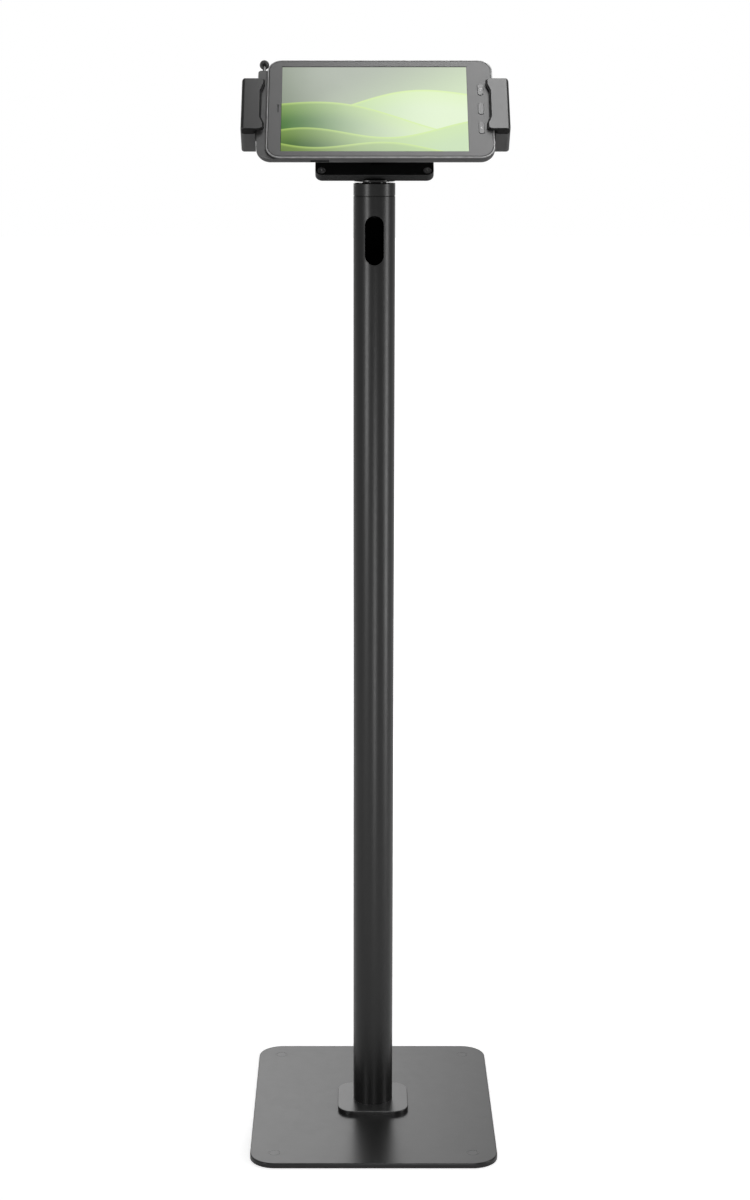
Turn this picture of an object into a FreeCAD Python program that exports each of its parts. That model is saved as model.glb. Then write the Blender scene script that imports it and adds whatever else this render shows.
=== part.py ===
import FreeCAD, Part
import math
import os

# Tablet floor stand: a flat steel base, a round post with cable slots, and a head that swivels,
# tilts and turns, with two sliding jaws that hold a tablet in a rugged case.
# Millimetres, +Z up, front towards -Y, origin at the centre of the base's footprint on the floor.
# The head is drawn in its own frame: X to the right, Y up the screen, Z out of the screen.

# General clearances
run_gap = 0.05          # radial, shaft in a hole that turns on it
slip_gap = 0.3          # between pieces that slide or move past each other
press_gap = 0.05        # between a piece and the seat that it is pressed or screwed into
tiny = 0.001            # tolerance used only to pick edges
small_round = 0.3       # broken edges of small turned and moulded pieces

# Base plate
base_width = 244.0
base_depth = 288.0
base_thickness = 5.0
base_corner_radius = 25.0
base_edge_round = 1.2
pad_radius = 11.0
pad_thickness = 2.0
pad_proud = 0.5
pad_inset = 52.0
anchor_inset = 24.0
anchor_hole_radius = 3.4
anchor_cap_radius = 5.4
anchor_cap_thickness = 1.4

# Foot flange and post
post_y = 2.0
post_radius = 20.0
post_wall = 2.0
post_length = 925.5
flange_size = 72.0
flange_thickness = 4.2
flange_corner_radius = 16.0
flange_edge_round = 0.8
flange_screw_inset = 11.0
flange_screw_bite = 3.4
slot_width = 18.0
slot_length = 46.5
slot_below_top = 41.0
exit_slot_length = 34.0
exit_slot_above_flange = 36.0

# Swivel at the top of the post
post_plug_length = 12.0
plug_chamfer = 0.8
swivel_ring_thickness = 0.6
swivel_ring_inset = 1.0
collar_height = 11.9
collar_edge_round = 0.8
swivel_bolt_radius = 4.0
swivel_head_radius = 7.0
swivel_head_height = 3.0
spring_washer_thickness = 1.2
spring_washer_radius = 8.0
swivel_nut_flats = 13.0
swivel_nut_height = 6.0
bolt_end_length = 1.3

# Tilt yoke and knuckle
hub_inset = 0.5         # of the hub's rim, inside the post's radius
hub_height = 3.4
hub_neck_radius = 11.4
hub_neck_height = 0.4
hub_rim_rise = 1.0
plate_clear = 0.3
plate_edge_gap = 1.96
pin_set_back = 12.97
pin_behind_plate = 11.0
pin_radius = 4.0
pin_flats = 13.0
pin_head_length = 4.5
pin_nut_length = 6.5
knuckle_radius = 9.0
knuckle_half_width = 7.2
knuckle_floor_gap = 1.2
tilt_washer_thickness = 0.8
tilt_washer_radius = 8.4
lug_thickness = 6.0
lug_front_reach = 8.0
lug_rear_reach = 12.0
lug_root = 0.5
foot_thickness = 5.0
foot_half_width = 22.0
foot_low = -17.0
foot_high = 22.0
foot_corner_radius = 5.0
foot_edge_round = 0.8
knuckle_screw_x = 16.5
knuckle_screw_edge = 5.25

# Mount plates
face_slope = 45.0       # angle between the screen and the floor
plate_size = 112.0
plate_corner_radius = 7.0
front_plate_thickness = 6.3
rear_plate_thickness = 2.0
plate_edge_round = 0.7
corner_screw_inset = 6.0
stop_track_inset = 16.0
stop_track_depth = 4.0
stop_pin_radius = 2.5
stop_angle = 90.0       # each way from the landscape position
stop_margin = 1.0

# Turning joint between holder and mount plates
turn_ring_thickness = 1.0
turn_ring_inner = 9.0
turn_ring_margin = 3.2  # between the ring and the stop pin's track
axle_radius = 5.0
axle_head_radius = 11.0
axle_head_height = 3.5
axle_washer_radius = 9.4
axle_washer_thickness = 1.6
axle_nut_flats = 16.0
axle_nut_height = 5.5
axle_end_length = 1.6

# Holder housing behind the tablet
holder_half_width = 96.0
holder_height = 60.0
holder_corner_radius = 8.0
holder_edge_round = 1.5
holder_wall = 2.5
tray_depth = 14.9
tray_floor = 3.6
lid_thickness = 2.0
lid_screw_bite = 1.4
boss_radius = 3.2
boss_inset = 6.5
guide_thickness = 1.6
guide_height = 4.4
lid_rail_width = 4.0
lid_rail_inset = 4.0
back_pad_width = 150.0
back_pad_height = 46.0
back_pad_thickness = 1.5
back_pad_corner = 6.0
lock_screw_radius = 3.0
lock_screw_x = 80.0

# Jaws
jaw_height = 64.3
jaw_centre_y = 3.55
jaw_side_gap = 0.3
jaw_liner_thickness = 1.2
jaw_liner_margin = 5.0
jaw_body_width = 13.7
jaw_corner_radius = 3.0
jaw_back_step = 0.9     # of the jaws' backs, forward of the tray's
jaw_back_round = 1.2
jaw_front_reach = 3.6
jaw_sheet_thickness = 1.0
jaw_bend_radius = 3.2
jaw_lip_thickness = 2.2
jaw_seam_depth = 4.2
jaw_end_proud = 0.5
jaw_prong_reach = 5.0
jaw_lip_proud = 2.0       # of the rubber lip, past the cover's prongs and notch
jaw_notch_reach = 2.0
jaw_prong_width = 6.9
jaw_prong_slope = 8.0
jaw_prong_round = 1.5
jaw_tip_round = 3.0
arm_thickness = 4.0
arm_corner_radius = 1.5
arm_inner_x = 16.0
arm_pocket_depth = 8.0
jaw_screw_spread = 12.0

# Tablet and its case
screen_width = 176.4
screen_height = 109.6
bezel_left = 12.2
bezel_right = 22.8
bezel_bottom = 6.4
bezel_top = 7.3
bezel_thickness = 2.2
bezel_corner_radius = 12.4
bezel_round = 0.9
glass_thickness = 1.7
glass_gap = 0.1
bezel_gap = 0.15
case_lip = 1.4
rim_set_back = 0.2
rim_round = 0.6
case_depth = 11.5
case_back_round = 8.0
case_wall = 2.8
case_floor = 2.0
silo_width = 9.0
silo_top_drop = 12.0
silo_corner_radius = 3.0
tablet_gap = 0.4
panel_thickness = 1.4
frame_wall = 1.5
battery_width = 96.0
battery_height = 88.0
battery_thickness = 4.2
battery_board_gap = 7.9
battery_corner = 3.0
battery_round = 0.8
board_width = 46.0
board_height = 92.0
board_thickness = 1.2
board_corner = 2.0
board_margin = 3.5
chip_height = 1.6
chips = ((0.0, 9.2, 13.8), (-9.2, -13.8, 8.3), (11.5, -11.5, 9.2), (-11.5, 27.6, 7.4))  # centre x, y and side
standoff_height = 0.8
standoff_radius = 2.0
key_width = 5.2
key_length = 14.7
key_pitch = 24.75
key_middle_y = -0.6
key_from_screen = 12.3
key_gap = 0.25
key_proud = 0.4
key_depth = 1.6
key_edge_round = 0.35
slit_from_screen = 2.9
slit_width = 1.2
slit_length = 10.6
mesh_width = 3.6
mesh_margin = 2.0
mesh_thickness = 0.8
port_slot_width = 17.5
port_slot_height = 3.8
port_from_side = 50.6
port_z = -5.6
port_width = 9.0
port_height = 3.2
port_shell = 0.4
port_depth = 6.0
port_tongue_thickness = 0.7
port_plate_thickness = 1.0
edge_key_width = 3.0
power_key_length = 10.0
volume_key_length = 22.0
power_key_from_side = 38.0
edge_key_pitch = 28.0
edge_key_z = -5.0
edge_key_proud = 0.6
edge_key_inner_gap = 0.7

# Stylus
stylus_radius = 2.6
stylus_length = 96.0
stylus_tip_length = 9.0
stylus_tip_radius = 0.8
stylus_from_case = 3.6
stylus_z = -6.6
stylus_neck_radius = 1.6
stylus_neck_offset = 0.9
stylus_neck_length = 9.6
ring_radius = 3.2
ring_wire = 1.4
ring_web = 1.2

# Screws
m3_radius = 1.5
m3_head_radius = 2.7
m3_head_height = 1.8
m4_radius = 2.0
m4_head_radius = 3.9
m4_head_height = 2.3
m5_radius = 2.5
m5_head_radius = 4.3
m5_head_height = 3.0
m6_radius = 3.0
m6_head_radius = 5.8
m6_head_height = 3.2
drive_depth = 1.3
cross_width = 1.0
cross_reach = 0.6       # of the head's radius
nut_collar_height = 0.3 # of the nut's height
nut_collar_radius = 0.42  # of the nut's width across flats
screw_sink = 0.15

# Levels along Z, worked out upwards from the floor
base_bottom_z = pad_proud
base_top_z = base_bottom_z + base_thickness
flange_top_z = base_top_z + flange_thickness
post_inner = post_radius - post_wall
post_top_z = base_top_z + post_length
collar_bottom_z = post_top_z + swivel_ring_thickness
collar_top_z = collar_bottom_z + collar_height
hub_radius = post_radius - hub_inset

# Levels along the head's own Z, worked out backwards from the face
case_front = -bezel_thickness
rim_front = -rim_set_back
case_back = -case_depth
lid_front = case_back - back_pad_thickness
tray_front = lid_front - lid_thickness
tray_back = tray_front - tray_depth
tray_inside = tray_back + tray_floor
jaw_back = tray_back + jaw_back_step
plate_front = tray_back - turn_ring_thickness
plate_seam = plate_front - front_plate_thickness
plate_back = plate_seam - rear_plate_thickness
foot_back = plate_back - foot_thickness
pin_depth = plate_back - pin_behind_plate
stop_track_radius = plate_size / 2 - stop_track_inset
stop_track_inner = stop_track_radius - stop_pin_radius - slip_gap
turn_ring_outer = stop_track_inner - turn_ring_margin
arm_back = tray_inside + slip_gap
arm_front = arm_back + arm_thickness

# Outline of the tablet in the head's frame, with the screen's centre at the origin
screen_x = screen_width / 2
screen_y = screen_height / 2
bezel_x0 = -screen_x - bezel_left
bezel_x1 = screen_x + bezel_right
bezel_y0 = -screen_y - bezel_bottom
bezel_y1 = screen_y + bezel_top
case_x0 = bezel_x0 - case_lip
case_x1 = bezel_x1 + case_lip
case_y0 = bezel_y0 - case_lip
case_y1 = bezel_y1 + case_lip
silo_x0 = case_x0 - silo_width
silo_top = case_y1 - silo_top_drop
cavity_x0 = case_x0 + case_wall
cavity_x1 = case_x1 - case_wall
cavity_y0 = case_y0 + case_wall
cavity_y1 = case_y1 - case_wall
cavity_floor = case_back + case_floor
cavity_round = case_back_round - case_floor - tablet_gap
case_corner = bezel_corner_radius + case_lip
frame_corner = case_corner - case_wall - tablet_gap
frame_x0 = cavity_x0 + tablet_gap
frame_x1 = cavity_x1 - tablet_gap
frame_y0 = cavity_y0 + tablet_gap
frame_y1 = cavity_y1 - tablet_gap
frame_front = case_front - panel_thickness
frame_floor = cavity_floor + frame_wall
port_x = case_x0 + port_from_side
power_key_x = case_x1 - power_key_from_side
volume_key_x = power_key_x - edge_key_pitch
board_x1 = frame_x1 - frame_wall - board_margin
board_x0 = board_x1 - board_width
battery_x1 = board_x0 - battery_board_gap
battery_x0 = battery_x1 - battery_width

# Holder and jaws up the screen: an arm just clears the screw bosses on each side of it
holder_y0 = jaw_centre_y - holder_height / 2
holder_y1 = jaw_centre_y + holder_height / 2
arm_width = holder_height - 2 * (boss_inset + boss_radius + slip_gap)
arm_y0 = jaw_centre_y - arm_width / 2
arm_y1 = jaw_centre_y + arm_width / 2

# The tilt pin lies across the head above the hub, and the plate's lower edge just clears the collar
slope_sin = math.sin(math.radians(face_slope))
slope_cos = math.cos(math.radians(face_slope))
pin_y = post_y + pin_set_back
hub_bottom_z = collar_top_z + hub_neck_height
hub_top_z = hub_bottom_z + hub_height
pin_z = hub_top_z + knuckle_floor_gap + knuckle_radius
edge_below_pin = (pin_z - collar_top_z - plate_edge_gap + pin_behind_plate * slope_cos) / slope_sin
pin_below_centre = plate_size / 2 - edge_below_pin
face_y = pin_y + pin_below_centre * slope_cos + pin_depth * slope_sin
face_z = pin_z + pin_below_centre * slope_sin - pin_depth * slope_cos

X_AXIS = FreeCAD.Vector(1, 0, 0)
Y_AXIS = FreeCAD.Vector(0, 1, 0)
Z_AXIS = FreeCAD.Vector(0, 0, 1)
HEAD = FreeCAD.Placement(FreeCAD.Vector(0, face_y, face_z), FreeCAD.Rotation(X_AXIS, face_slope))


def point(x, y, z):
    return FreeCAD.Vector(x, y, z)


def block(x0, x1, y0, y1, z0, z1):
    return Part.makeBox(x1 - x0, y1 - y0, z1 - z0, point(x0, y0, z0))


def rod(x, y, z0, z1, radius):
    return Part.makeCylinder(radius, z1 - z0, point(x, y, z0), Z_AXIS)


def rod_x(x0, x1, y, z, radius):
    return Part.makeCylinder(radius, x1 - x0, point(x0, y, z), X_AXIS)


def ring(x, y, z0, z1, outer, inner):
    return rod(x, y, z0, z1, outer).cut(rod(x, y, z0, z1, inner))


def is_upright(edge):
    ends = edge.Vertexes
    if len(ends) != 2:
        return False
    return abs(ends[0].X - ends[1].X) < tiny and abs(ends[0].Y - ends[1].Y) < tiny


def is_upright_at(x, y):
    def wanted(edge):
        ends = edge.Vertexes
        return is_upright(edge) and abs(ends[0].X - x) < tiny and abs(ends[0].Y - y) < tiny
    return wanted


def lies_at(z):
    return lambda edge: abs(edge.BoundBox.ZMin - z) < tiny and abs(edge.BoundBox.ZMax - z) < tiny


def soften(shape, radius, wanted):
    return shape.makeFillet(radius, [edge for edge in shape.Edges if wanted(edge)])


def slab(x0, x1, y0, y1, z0, z1, corner, top_round=0.0, bottom_round=0.0):
    """A flat plate with round corners, and with its top and bottom edges softened."""
    shape = soften(block(x0, x1, y0, y1, z0, z1), corner, is_upright)
    if top_round > 0:
        shape = soften(shape, top_round, lies_at(z1))
    if bottom_round > 0:
        shape = soften(shape, bottom_round, lies_at(z0))
    return shape


def stadium(width, length, z0, z1):
    """A straight-sided slot shape along Y, with half-round ends."""
    radius = width / 2
    half = length / 2 - radius
    middle = block(-radius, radius, -half, half, z0, z1)
    return middle.fuse([rod(0, -half, z0, z1, radius), rod(0, half, z0, z1, radius)]).removeSplitter()


def prism(points, height):
    """A closed outline in the XY plane, raised along Z."""
    return Part.Face(Part.makePolygon(points + points[:1])).extrude(point(0, 0, height))


def hexagon(flats, z0, z1):
    corner = flats / math.sqrt(3)
    angles = [math.radians(60 * step) for step in range(6)]
    corners = [point(corner * math.cos(turn), corner * math.sin(turn), z0) for turn in angles]
    return prism(corners, z1 - z0)


def moved(shape, x, y, z):
    copy = shape.copy()
    copy.translate(point(x, y, z))
    return copy


def flipped(shape):
    """The same shape, turned over about X, so that what faced +Z faces -Z."""
    copy = shape.copy()
    copy.rotate(point(0, 0, 0), X_AXIS, 180)
    return copy


def group(shapes):
    return Part.makeCompound(shapes)


def cap_screw(radius, head_radius, head_height, length):
    """Cylinder-head screw with a hexagon socket: the head's seat is at z = 0 and the shank runs down."""
    socket = hexagon(head_radius, head_height - drive_depth, head_height)
    head = soften(rod(0, 0, 0, head_height, head_radius), small_round, lies_at(head_height))
    return head.fuse(rod(0, 0, -length, 0, radius)).cut(socket)


def flat_screw(radius, head_radius, head_height, length):
    """Countersunk screw with a cross recess: the head's top is at z = 0 and the shank runs down."""
    head = Part.makeCone(radius, head_radius, head_height, point(0, 0, -head_height), Z_AXIS)
    shank = rod(0, 0, -length, -head_height, radius)
    reach = head_radius * cross_reach
    half = cross_width / 2
    recess = block(-reach, reach, -half, half, -drive_depth, 0)
    recess = recess.fuse(block(-half, half, -reach, reach, -drive_depth, 0))
    return head.fuse(shank).cut(recess)


def flat_screw_hole(radius, head_radius, head_height, length):
    """The space for a countersunk screw that sits just below z = 0, open above."""
    wide = head_radius + press_gap
    seat = -head_height - screw_sink
    head = Part.makeCone(radius + press_gap, wide, head_height, point(0, 0, seat), Z_AXIS)
    shank = rod(0, 0, -length, seat, radius + press_gap)
    return head.fuse([shank, rod(0, 0, -screw_sink, head_height, wide)])


def lock_nut(radius, flats, height):
    """Hexagon nut standing on z = 0, with a round nylon collar at its far end."""
    body = height * (1 - nut_collar_height)
    nut = hexagon(flats, 0, body).fuse(rod(0, 0, body, height, flats * nut_collar_radius))
    return nut.cut(rod(0, 0, 0, height, radius))


def corners(half_x, half_y):
    return [(x, y) for x in (-half_x, half_x) for y in (-half_y, half_y)]


def in_head(shape):
    """A shape drawn in the head's frame, put in its place on the stand."""
    copy = shape.copy()
    copy.transformShape(HEAD.toMatrix(), True)
    return copy


# Base

def flange_screw_places():
    spread = flange_size / 2 - flange_screw_inset
    return [(x, post_y + y) for x, y in corners(spread, spread)]


def anchor_places():
    return corners(base_width / 2 - anchor_inset, base_depth / 2 - anchor_inset)


def pad_places():
    return corners(base_width / 2 - pad_inset, base_depth / 2 - anchor_inset)


def make_base_plate():
    half_x = base_width / 2
    half_y = base_depth / 2
    plate = slab(-half_x, half_x, -half_y, half_y, base_bottom_z, base_top_z, base_corner_radius,
                 top_round=base_edge_round)
    cuts = []
    for x, y in anchor_places():
        cuts.append(rod(x, y, base_bottom_z, base_top_z, anchor_hole_radius))
        cuts.append(rod(x, y, base_top_z - anchor_cap_thickness, base_top_z, anchor_cap_radius + press_gap))
    for x, y in pad_places():
        cuts.append(rod(x, y, base_bottom_z, pad_thickness, pad_radius + press_gap))
    screw = flipped(flat_screw_hole(m6_radius, m6_head_radius, m6_head_height, base_thickness))
    for x, y in flange_screw_places():
        cuts.append(moved(screw, x, y, base_bottom_z))
    return plate.cut(cuts)


def make_floor_pads():
    pad = soften(rod(0, 0, 0, pad_thickness, pad_radius), small_round, lies_at(0))
    return group([moved(pad, x, y, 0) for x, y in pad_places()])


def make_anchor_plugs():
    cap_bottom = base_top_z - anchor_cap_thickness
    cap = rod(0, 0, cap_bottom, base_top_z, anchor_cap_radius)
    stem = rod(0, 0, base_bottom_z, cap_bottom, anchor_hole_radius - press_gap)
    plug = soften(cap, small_round, lies_at(base_top_z)).fuse(stem)
    return group([moved(plug, x, y, 0) for x, y in anchor_places()])


def flange_screw_length():
    return base_thickness + flange_screw_bite


def make_foot_flange():
    half = flange_size / 2
    flange = slab(-half, half, post_y - half, post_y + half, base_top_z, flange_top_z,
                  flange_corner_radius, flange_edge_round)
    cuts = [rod(0, post_y, base_top_z, flange_top_z, post_radius + press_gap)]
    screw_top = base_bottom_z + flange_screw_length()
    for x, y in flange_screw_places():
        cuts.append(rod(x, y, base_top_z, screw_top + press_gap, m6_radius + press_gap))
    return flange.cut(cuts)


def make_flange_screws():
    length = flange_screw_length() - screw_sink
    screw = flipped(flat_screw(m6_radius, m6_head_radius, m6_head_height, length))
    return group([moved(screw, x, y, base_bottom_z + screw_sink) for x, y in flange_screw_places()])


# Post

def post_slot(length, z, side):
    """A slot through one wall of the post: side is -1 at the front and 1 at the back."""
    slot = stadium(slot_width, length, 0, 2 * post_radius)
    slot.rotate(point(0, 0, 0), X_AXIS, 90)
    if side > 0:
        slot.translate(point(0, 2 * post_radius, 0))
    return moved(slot, 0, post_y, z)


def make_post_tube():
    tube = ring(0, post_y, base_top_z, post_top_z, post_radius, post_inner)
    cable_slot = post_slot(slot_length, post_top_z - slot_below_top, -1)
    exit_slot = post_slot(exit_slot_length, flange_top_z + exit_slot_above_flange, 1)
    return tube.cut([cable_slot, exit_slot])


def make_post_top_plug():
    radius = post_inner - press_gap
    bottom = post_top_z - post_plug_length
    plug = rod(0, post_y, bottom, post_top_z, radius)
    plug = plug.makeChamfer(plug_chamfer, [edge for edge in plug.Edges if lies_at(bottom)(edge)])
    return plug.cut(rod(0, post_y, bottom, post_top_z, swivel_bolt_radius + run_gap))


def make_swivel_friction_ring():
    outer = post_radius - swivel_ring_inset
    return ring(0, post_y, post_top_z, collar_bottom_z, outer, swivel_bolt_radius + run_gap)


# Swivel head

def make_swivel_collar():
    collar = rod(0, post_y, collar_bottom_z, collar_top_z, post_radius)
    collar = soften(collar, collar_edge_round, lies_at(collar_top_z))
    return collar.cut(rod(0, post_y, collar_bottom_z, collar_top_z, swivel_bolt_radius + press_gap))


def lens_disc(radius, z0, z1, rise):
    """A disc whose top and bottom are both slightly domed."""
    rim0 = point(radius, 0, z0 + rise)
    rim1 = point(radius, 0, z1 - rise)
    half0 = point(radius / 2, 0, z0 + rise / 4)
    half1 = point(radius / 2, 0, z1 - rise / 4)
    outline = Part.Wire([
        Part.Arc(point(0, 0, z0), half0, rim0).toShape(),
        Part.LineSegment(rim0, rim1).toShape(),
        Part.Arc(rim1, half1, point(0, 0, z1)).toShape(),
        Part.LineSegment(point(0, 0, z1), point(0, 0, z0)).toShape(),
    ])
    return Part.Face(outline).revolve(point(0, 0, 0), Z_AXIS, 360)


def lug(x0, x1):
    """One ear of the yoke: a round eye about the tilt pin, leaning back from the hub."""
    root_z = hub_top_z - lug_root
    front = point(x0, post_y - lug_front_reach, root_z)
    rear = point(x0, post_y + lug_rear_reach, root_z)
    lean = point(0, pin_y - (front.y + rear.y) / 2, pin_z - root_z).normalize()
    across = point(0, -lean.z, lean.y) * knuckle_radius
    eye = point(x0, pin_y, pin_z)
    outline = Part.makePolygon([front, rear, eye - across, eye + across, front])
    web = Part.Face(outline).extrude(point(x1 - x0, 0, 0))
    return web.fuse(rod_x(x0, x1, pin_y, pin_z, knuckle_radius))


def make_tilt_yoke():
    hub = moved(lens_disc(hub_radius, hub_bottom_z, hub_top_z, hub_rim_rise), 0, post_y, 0)
    neck = rod(0, post_y, collar_top_z, hub_bottom_z + hub_rim_rise, hub_neck_radius)
    inner = knuckle_half_width + tilt_washer_thickness
    outer = inner + lug_thickness
    yoke = hub.fuse([neck, lug(inner, outer), lug(-outer, -inner)])
    half = plate_size / 2 + plate_clear
    plate_space = in_head(block(-half, half, -half, half, plate_back - plate_clear, plate_front))
    depth = hub_top_z - collar_top_z
    bolt_hole = flat_screw_hole(swivel_bolt_radius, swivel_head_radius, swivel_head_height, depth)
    bolt_hole = moved(bolt_hole, 0, post_y, hub_top_z)
    pin_hole = rod_x(-outer, outer, pin_y, pin_z, pin_radius + press_gap)
    return yoke.cut([plate_space, bolt_hole, pin_hole]).removeSplitter()


def swivel_nut_top_z():
    return post_top_z - post_plug_length - spring_washer_thickness


def make_swivel_bolt():
    length = hub_top_z - swivel_nut_top_z() + swivel_nut_height + bolt_end_length
    bolt = flat_screw(swivel_bolt_radius, swivel_head_radius, swivel_head_height, length)
    return moved(bolt, 0, post_y, hub_top_z - screw_sink)


def make_swivel_spring_washer():
    top = post_top_z - post_plug_length
    bore = swivel_bolt_radius + press_gap
    return ring(0, post_y, top - spring_washer_thickness, top, spring_washer_radius, bore)


def make_swivel_lock_nut():
    nut = flipped(lock_nut(swivel_bolt_radius + press_gap, swivel_nut_flats, swivel_nut_height))
    return moved(nut, 0, post_y, swivel_nut_top_z())


def across_head(shape, x):
    """A turned piece drawn along Z, laid along X on the tilt pin's axis."""
    copy = shape.copy()
    copy.rotate(point(0, 0, 0), Y_AXIS, 90)
    return moved(copy, x, pin_y, pin_z)


def lug_outer_x():
    return knuckle_half_width + tilt_washer_thickness + lug_thickness


def make_tilt_pin():
    reach = lug_outer_x()
    shank = rod(0, 0, 0, 2 * reach + pin_nut_length + bolt_end_length, pin_radius)
    head = hexagon(pin_flats, -pin_head_length, 0)
    return across_head(head.fuse(shank), -reach)


def make_tilt_pin_nut():
    return across_head(lock_nut(pin_radius + press_gap, pin_flats, pin_nut_length), lug_outer_x())


def make_tilt_washers():
    washer = ring(0, 0, 0, tilt_washer_thickness, tilt_washer_radius, pin_radius + run_gap)
    places = (knuckle_half_width, -knuckle_half_width - tilt_washer_thickness)
    return group([across_head(washer, x) for x in places])


# Tilting knuckle and mount plates, drawn in the head's frame

def knuckle_screw_places():
    low = foot_low + knuckle_screw_edge
    high = foot_high - knuckle_screw_edge
    return [(x, y) for x in (-knuckle_screw_x, knuckle_screw_x) for y in (low, high)]


def knuckle_screw_length():
    return foot_thickness + rear_plate_thickness + front_plate_thickness / 2


def nut_space_radius():
    return axle_nut_flats / math.sqrt(3) + 2 * slip_gap + axle_end_length


def make_tilt_knuckle():
    half = knuckle_half_width
    low = -pin_below_centre - knuckle_radius
    foot = slab(-foot_half_width, foot_half_width, foot_low, foot_high, foot_back, plate_back,
                foot_corner_radius, bottom_round=foot_edge_round)
    web = block(-half, half, low, foot_low + foot_corner_radius, foot_back, plate_back)
    tongue = block(-half, half, low, -pin_below_centre + knuckle_radius, pin_depth, foot_back)
    eye = rod_x(-half, half, -pin_below_centre, pin_depth, knuckle_radius)
    knuckle = foot.fuse([web, tongue, eye]).removeSplitter()
    cuts = [rod_x(-half, half, -pin_below_centre, pin_depth, pin_radius + run_gap)]
    cuts.append(rod(0, 0, foot_back, plate_back, nut_space_radius()))
    for x, y in knuckle_screw_places():
        cuts.append(rod(x, y, foot_back, plate_back, m5_radius + press_gap))
    return in_head(knuckle.cut(cuts))


def make_knuckle_screws():
    screw = flipped(cap_screw(m5_radius, m5_head_radius, m5_head_height, knuckle_screw_length()))
    return in_head(group([moved(screw, x, y, foot_back) for x, y in knuckle_screw_places()]))


def corner_screw_places():
    reach = plate_size / 2 - corner_screw_inset
    return corners(reach, reach)


def stop_track():
    """The arc groove that the stop pin runs in, open at the front of the plate."""
    pin_turn = math.degrees(math.asin((stop_pin_radius + slip_gap) / stop_track_radius))
    sweep = 2 * (stop_angle + pin_turn + stop_margin)
    bottom = point(0, 0, plate_front - stop_track_depth)
    outer = stop_track_radius + stop_pin_radius + slip_gap
    track = Part.makeCylinder(outer, stop_track_depth, bottom, Z_AXIS, sweep)
    track = track.cut(rod(0, 0, plate_front - stop_track_depth, plate_front, stop_track_inner))
    track.rotate(point(0, 0, 0), Z_AXIS, -sweep / 2)
    return track


def make_mount_front_plate():
    half = plate_size / 2
    plate = slab(-half, half, -half, half, plate_seam, plate_front, plate_corner_radius, plate_edge_round)
    cuts = [rod(0, 0, plate_seam, plate_front, axle_radius + run_gap), stop_track()]
    screw = flat_screw_hole(m4_radius, m4_head_radius, m4_head_height, front_plate_thickness)
    for x, y in corner_screw_places():
        cuts.append(moved(screw, x, y, plate_front))
    tip = foot_back + knuckle_screw_length() + press_gap
    for x, y in knuckle_screw_places():
        cuts.append(rod(x, y, plate_seam, tip, m5_radius + press_gap))
    return in_head(plate.cut(cuts))


def make_mount_rear_plate():
    half = plate_size / 2
    plate = slab(-half, half, -half, half, plate_back, plate_seam, plate_corner_radius,
                 bottom_round=plate_edge_round)
    cuts = [rod(0, 0, plate_back, plate_seam, axle_radius + run_gap)]
    for x, y in corner_screw_places():
        cuts.append(rod(x, y, plate_back, plate_seam, m4_radius + press_gap))
    for x, y in knuckle_screw_places():
        cuts.append(rod(x, y, plate_back, plate_seam, m5_radius + press_gap))
    return in_head(plate.cut(cuts))


def make_mount_corner_screws():
    length = front_plate_thickness + rear_plate_thickness - 2 * screw_sink
    screw = flat_screw(m4_radius, m4_head_radius, m4_head_height, length)
    top = plate_front - screw_sink
    return in_head(group([moved(screw, x, y, top) for x, y in corner_screw_places()]))


def make_turn_friction_ring():
    return in_head(ring(0, 0, plate_front, tray_back, turn_ring_outer, turn_ring_inner))


# Holder, drawn in the head's frame

def make_turn_axle():
    nut_back = plate_back - axle_washer_thickness - axle_nut_height
    length = tray_inside - nut_back + axle_end_length
    axle = cap_screw(axle_radius, axle_head_radius, axle_head_height, length)
    return in_head(moved(axle, 0, 0, tray_inside))


def make_turn_spring_washer():
    back = plate_back - axle_washer_thickness
    return in_head(ring(0, 0, back, plate_back, axle_washer_radius, axle_radius + press_gap))


def make_turn_lock_nut():
    nut = flipped(lock_nut(axle_radius + press_gap, axle_nut_flats, axle_nut_height))
    return in_head(moved(nut, 0, 0, plate_back - axle_washer_thickness))


def stop_pin_ends():
    return plate_front - stop_track_depth + 2 * slip_gap, tray_inside


def make_turn_stop_pin():
    low, high = stop_pin_ends()
    pin = soften(rod(stop_track_radius, 0, low, high, stop_pin_radius), small_round, lies_at(low))
    return in_head(pin)


def holder_screw_places():
    low = holder_y0 + boss_inset
    high = holder_y1 - boss_inset
    reach = holder_half_width - boss_inset
    return [(x, y) for x in (-reach, 0, reach) for y in (low, high)]


def holder_screw_head_depth():
    return m3_head_height + screw_sink


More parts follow.
